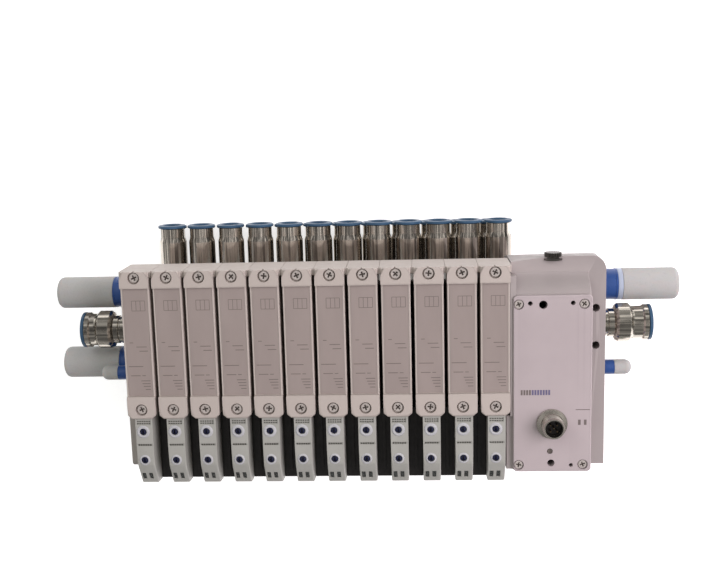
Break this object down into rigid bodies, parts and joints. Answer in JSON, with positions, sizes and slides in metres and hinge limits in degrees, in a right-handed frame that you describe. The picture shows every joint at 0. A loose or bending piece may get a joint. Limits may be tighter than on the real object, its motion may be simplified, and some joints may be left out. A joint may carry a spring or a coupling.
{
  "type": "pneumatic valve terminal",
  "caption": "Valve terminal of slim solenoid directional valves on one manifold, with push-in work fittings, end silencers and supply ports, and a connection block with a round plug.",
  "frame": {"origin": "middle of the manifold's mounting face, between the sixth and seventh valve", "axes": "+X along the row of valves towards the connection block, +Y towards the work port fittings, +Z out of the valves' top faces"},
  "size_m": [0.3662, 0.142, 0.1105],
  "materials": {
    "valve_body": "satin light grey, with greyer label areas",
    "manifold": "blasted cast aluminium with nickel-plated fittings",
    "end_plate": "satin light grey",
    "housing": "satin light grey",
    "cover": "satin light grey",
    "connector": "nickel plated",
    "fitting": "nickel plated, with a blue release ring",
    "silencer": "porous white cap on a blue base",
    "spool": "ground",
    "override": "dark blue"
  },
  "bodies": {
    "root": {"valve_01": "valve_body", "valve_02": "valve_body", "valve_03": "valve_body", "valve_04": "valve_body", "valve_05": "valve_body", "valve_06": "valve_body", "valve_07": "valve_body", "valve_08": "valve_body", "valve_09": "valve_body", "valve_10": "valve_body", "valve_11": "valve_body", "valve_12": "valve_body", "manifold_base": "manifold", "left_end_plate": "end_plate", "connection_housing": "housing", "connection_cover": "cover", "m12_connector": "connector", "silencer_left_upper": "silencer", "silencer_left_lower": "silencer", "silencer_right": "silencer", "pilot_silencer_left": "silencer", "pilot_silencer_right": "silencer", "supply_fitting_left": "fitting", "supply_fitting_right": "fitting"},
    "spool_01": {"spool_01": "spool"},
    "spool_02": {"spool_02": "spool"},
    "spool_03": {"spool_03": "spool"},
    "spool_04": {"spool_04": "spool"},
    "spool_05": {"spool_05": "spool"},
    "spool_06": {"spool_06": "spool"},
    "spool_07": {"spool_07": "spool"},
    "spool_08": {"spool_08": "spool"},
    "spool_09": {"spool_09": "spool"},
    "spool_10": {"spool_10": "spool"},
    "spool_11": {"spool_11": "spool"},
    "spool_12": {"spool_12": "spool"},
    "override_01_upper": {"override_01_upper": "override"},
    "override_01_lower": {"override_01_lower": "override"},
    "override_02_upper": {"override_02_upper": "override"},
    "override_02_lower": {"override_02_lower": "override"},
    "override_03_upper": {"override_03_upper": "override"},
    "override_03_lower": {"override_03_lower": "override"},
    "override_04_upper": {"override_04_upper": "override"},
    "override_04_lower": {"override_04_lower": "override"},
    "override_05_upper": {"override_05_upper": "override"},
    "override_05_lower": {"override_05_lower": "override"},
    "override_06_upper": {"override_06_upper": "override"},
    "override_06_lower": {"override_06_lower": "override"},
    "override_07_upper": {"override_07_upper": "override"},
    "override_07_lower": {"override_07_lower": "override"},
    "override_08_upper": {"override_08_upper": "override"},
    "override_08_lower": {"override_08_lower": "override"},
    "override_09_upper": {"override_09_upper": "override"},
    "override_09_lower": {"override_09_lower": "override"},
    "override_10_upper": {"override_10_upper": "override"},
    "override_10_lower": {"override_10_lower": "override"},
    "override_11_upper": {"override_11_upper": "override"},
    "override_11_lower": {"override_11_lower": "override"},
    "override_12_upper": {"override_12_upper": "override"},
    "override_12_lower": {"override_12_lower": "override"}
  },
  "joints": [
    {"name": "spool_01_shift", "type": "slide", "parent": "root", "child": "spool_01", "axis": [0, 1, 0], "range_m": [0, 0.004]},
    {"name": "spool_02_shift", "type": "slide", "parent": "root", "child": "spool_02", "axis": [0, 1, 0], "range_m": [0, 0.004]},
    {"name": "spool_03_shift", "type": "slide", "parent": "root", "child": "spool_03", "axis": [0, 1, 0], "range_m": [0, 0.004]},
    {"name": "spool_04_shift", "type": "slide", "parent": "root", "child": "spool_04", "axis": [0, 1, 0], "range_m": [0, 0.004]},
    {"name": "spool_05_shift", "type": "slide", "parent": "root", "child": "spool_05", "axis": [0, 1, 0], "range_m": [0, 0.004]},
    {"name": "spool_06_shift", "type": "slide", "parent": "root", "child": "spool_06", "axis": [0, 1, 0], "range_m": [0, 0.004]},
    {"name": "spool_07_shift", "type": "slide", "parent": "root", "child": "spool_07", "axis": [0, 1, 0], "range_m": [0, 0.004]},
    {"name": "spool_08_shift", "type": "slide", "parent": "root", "child": "spool_08", "axis": [0, 1, 0], "range_m": [0, 0.004]},
    {"name": "spool_09_shift", "type": "slide", "parent": "root", "child": "spool_09", "axis": [0, 1, 0], "range_m": [0, 0.004]},
    {"name": "spool_10_shift", "type": "slide", "parent": "root", "child": "spool_10", "axis": [0, 1, 0], "range_m": [0, 0.004]},
    {"name": "spool_11_shift", "type": "slide", "parent": "root", "child": "spool_11", "axis": [0, 1, 0], "range_m": [0, 0.004]},
    {"name": "spool_12_shift", "type": "slide", "parent": "root", "child": "spool_12", "axis": [0, 1, 0], "range_m": [0, 0.004]},
    {"name": "override_01_upper_press", "type": "slide", "parent": "root", "child": "override_01_upper", "axis": [0, 0, -1], "range_m": [0, 0.0015], "stiffness_N_per_m": 300},
    {"name": "override_01_lower_press", "type": "slide", "parent": "root", "child": "override_01_lower", "axis": [0, 0, -1], "range_m": [0, 0.0015], "stiffness_N_per_m": 300},
    {"name": "override_02_upper_press", "type": "slide", "parent": "root", "child": "override_02_upper", "axis": [0, 0, -1], "range_m": [0, 0.0015], "stiffness_N_per_m": 300},
    {"name": "override_02_lower_press", "type": "slide", "parent": "root", "child": "override_02_lower", "axis": [0, 0, -1], "range_m": [0, 0.0015], "stiffness_N_per_m": 300},
    {"name": "override_03_upper_press", "type": "slide", "parent": "root", "child": "override_03_upper", "axis": [0, 0, -1], "range_m": [0, 0.0015], "stiffness_N_per_m": 300},
    {"name": "override_03_lower_press", "type": "slide", "parent": "root", "child": "override_03_lower", "axis": [0, 0, -1], "range_m": [0, 0.0015], "stiffness_N_per_m": 300},
    {"name": "override_04_upper_press", "type": "slide", "parent": "root", "child": "override_04_upper", "axis": [0, 0, -1], "range_m": [0, 0.0015], "stiffness_N_per_m": 300},
    {"name": "override_04_lower_press", "type": "slide", "parent": "root", "child": "override_04_lower", "axis": [0, 0, -1], "range_m": [0, 0.0015], "stiffness_N_per_m": 300},
    {"name": "override_05_upper_press", "type": "slide", "parent": "root", "child": "override_05_upper", "axis": [0, 0, -1], "range_m": [0, 0.0015], "stiffness_N_per_m": 300},
    {"name": "override_05_lower_press", "type": "slide", "parent": "root", "child": "override_05_lower", "axis": [0, 0, -1], "range_m": [0, 0.0015], "stiffness_N_per_m": 300},
    {"name": "override_06_upper_press", "type": "slide", "parent": "root", "child": "override_06_upper", "axis": [0, 0, -1], "range_m": [0, 0.0015], "stiffness_N_per_m": 300},
    {"name": "override_06_lower_press", "type": "slide", "parent": "root", "child": "override_06_lower", "axis": [0, 0, -1], "range_m": [0, 0.0015], "stiffness_N_per_m": 300},
    {"name": "override_07_upper_press", "type": "slide", "parent": "root", "child": "override_07_upper", "axis": [0, 0, -1], "range_m": [0, 0.0015], "stiffness_N_per_m": 300},
    {"name": "override_07_lower_press", "type": "slide", "parent": "root", "child": "override_07_lower", "axis": [0, 0, -1], "range_m": [0, 0.0015], "stiffness_N_per_m": 300},
    {"name": "override_08_upper_press", "type": "slide", "parent": "root", "child": "override_08_upper", "axis": [0, 0, -1], "range_m": [0, 0.0015], "stiffness_N_per_m": 300},
    {"name": "override_08_lower_press", "type": "slide", "parent": "root", "child": "override_08_lower", "axis": [0, 0, -1], "range_m": [0, 0.0015], "stiffness_N_per_m": 300},
    {"name": "override_09_upper_press", "type": "slide", "parent": "root", "child": "override_09_upper", "axis": [0, 0, -1], "range_m": [0, 0.0015], "stiffness_N_per_m": 300},
    {"name": "override_09_lower_press", "type": "slide", "parent": "root", "child": "override_09_lower", "axis": [0, 0, -1], "range_m": [0, 0.0015], "stiffness_N_per_m": 300},
    {"name": "override_10_upper_press", "type": "slide", "parent": "root", "child": "override_10_upper", "axis": [0, 0, -1], "range_m": [0, 0.0015], "stiffness_N_per_m": 300},
    {"name": "override_10_lower_press", "type": "slide", "parent": "root", "child": "override_10_lower", "axis": [0, 0, -1], "range_m": [0, 0.0015], "stiffness_N_per_m": 300},
    {"name": "override_11_upper_press", "type": "slide", "parent": "root", "child": "override_11_upper", "axis": [0, 0, -1], "range_m": [0, 0.0015], "stiffness_N_per_m": 300},
    {"name": "override_11_lower_press", "type": "slide", "parent": "root", "child": "override_11_lower", "axis": [0, 0, -1], "range_m": [0, 0.0015], "stiffness_N_per_m": 300},
    {"name": "override_12_upper_press", "type": "slide", "parent": "root", "child": "override_12_upper", "axis": [0, 0, -1], "range_m": [0, 0.0015], "stiffness_N_per_m": 300},
    {"name": "override_12_lower_press", "type": "slide", "parent": "root", "child": "override_12_lower", "axis": [0, 0, -1], "range_m": [0, 0.0015], "stiffness_N_per_m": 300}
  ]
}
